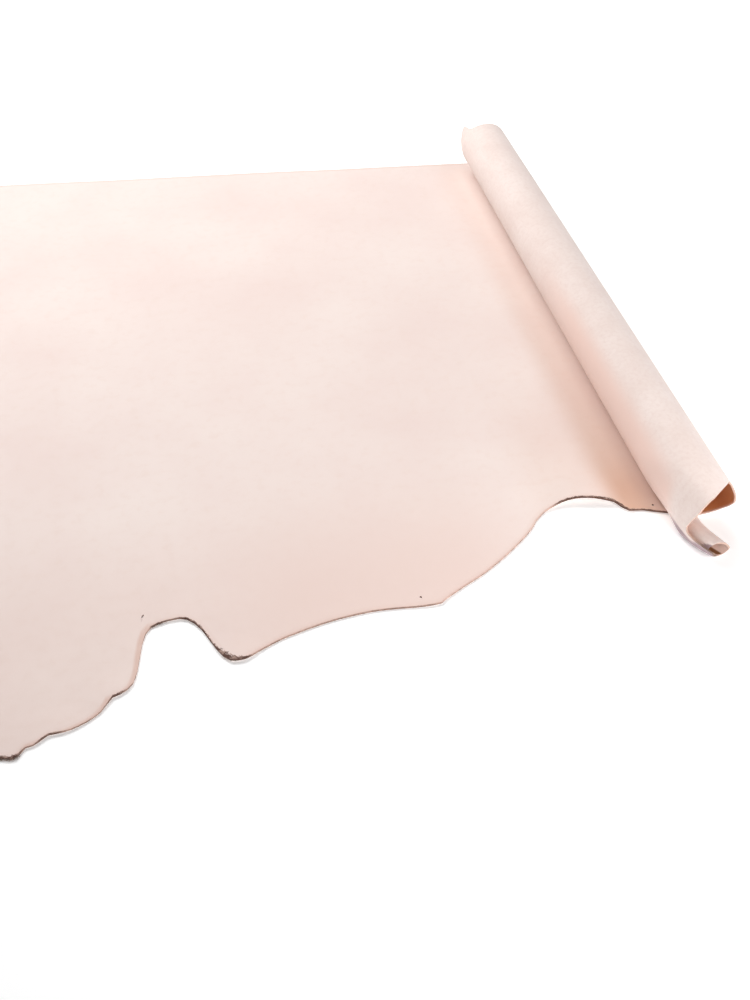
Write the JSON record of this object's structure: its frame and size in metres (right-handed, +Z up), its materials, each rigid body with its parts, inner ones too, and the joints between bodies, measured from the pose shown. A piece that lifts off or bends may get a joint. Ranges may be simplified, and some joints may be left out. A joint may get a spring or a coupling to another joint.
{
  "type": "vegetable-tanned cowhide",
  "caption": "Side of undyed vegetable-tanned cowhide laid grain side up, with a straight back edge, a natural belly edge and one end rolled back over itself.",
  "frame": {"origin": "under the middle of the hide's bounding box, at floor level", "axes": "+X along the straight back edge, from the neck end to the rolled end; +Y from the belly edge to the back edge; +Z up"},
  "size_m": [1.5652, 1.2038, 0.087],
  "materials": {
    "hide": "matte"
  },
  "bodies": {
    "root": {"hide": "hide"}
  },
  "joints": []
}
